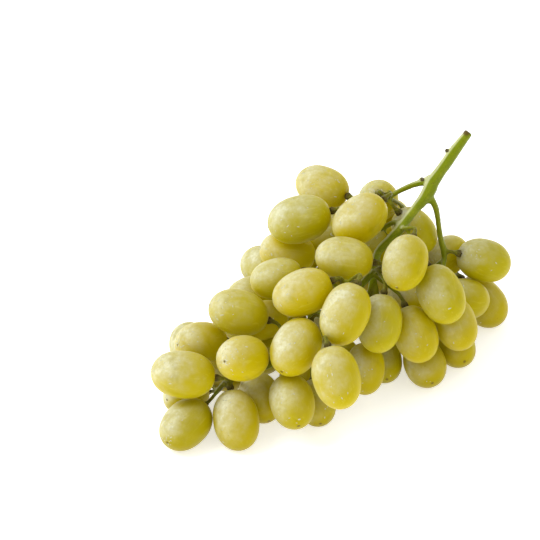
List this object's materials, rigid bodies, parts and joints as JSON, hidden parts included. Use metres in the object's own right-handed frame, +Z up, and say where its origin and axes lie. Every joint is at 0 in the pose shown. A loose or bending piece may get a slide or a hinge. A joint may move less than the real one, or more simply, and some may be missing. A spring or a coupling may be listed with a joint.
{
  "type": "bunch of grapes",
  "caption": "Bunch of pale green table grapes lying on its side, oval berries on a branched green stalk with a brown cut end.",
  "frame": {"origin": "middle of the bunch's footprint, on the table", "axes": "+Z up from the table, +X along the bunch's width towards the stalk, -Y towards the side that the picture shows"},
  "size_m": [0.1582, 0.143, 0.0993],
  "materials": {
    "grape_skin": "thin waxy translucent skin, softly glossy",
    "stem_green": "fresh green bark, matt, brown at the swellings and the cut end"
  },
  "bodies": {
    "root": {"grape_01": "grape_skin", "grape_02": "grape_skin", "grape_03": "grape_skin", "grape_04": "grape_skin", "grape_05": "grape_skin", "grape_06": "grape_skin", "grape_07": "grape_skin", "grape_08": "grape_skin", "grape_09": "grape_skin", "grape_10": "grape_skin", "grape_11": "grape_skin", "grape_12": "grape_skin", "grape_13": "grape_skin", "grape_14": "grape_skin", "grape_15": "grape_skin", "grape_16": "grape_skin", "grape_17": "grape_skin", "grape_18": "grape_skin", "grape_19": "grape_skin", "grape_20": "grape_skin", "grape_21": "grape_skin", "grape_22": "grape_skin", "grape_23": "grape_skin", "grape_24": "grape_skin", "grape_25": "grape_skin", "grape_26": "grape_skin", "grape_27": "grape_skin", "grape_28": "grape_skin", "grape_29": "grape_skin", "grape_30": "grape_skin", "grape_31": "grape_skin", "grape_32": "grape_skin", "grape_33": "grape_skin", "grape_34": "grape_skin", "grape_35": "grape_skin", "grape_36": "grape_skin", "grape_37": "grape_skin", "grape_38": "grape_skin", "grape_39": "grape_skin", "grape_40": "grape_skin", "grape_41": "grape_skin", "grape_42": "grape_skin", "grape_43": "grape_skin", "grape_44": "grape_skin", "grape_45": "grape_skin", "grape_46": "grape_skin", "grape_47": "grape_skin", "grape_48": "grape_skin", "grape_49": "grape_skin", "grape_50": "grape_skin", "grape_51": "grape_skin", "grape_52": "grape_skin", "grape_53": "grape_skin", "grape_54": "grape_skin", "grape_55": "grape_skin", "grape_56": "grape_skin", "grape_57": "grape_skin", "grape_58": "grape_skin", "grape_59": "grape_skin", "stem": "stem_green"}
  },
  "joints": []
}
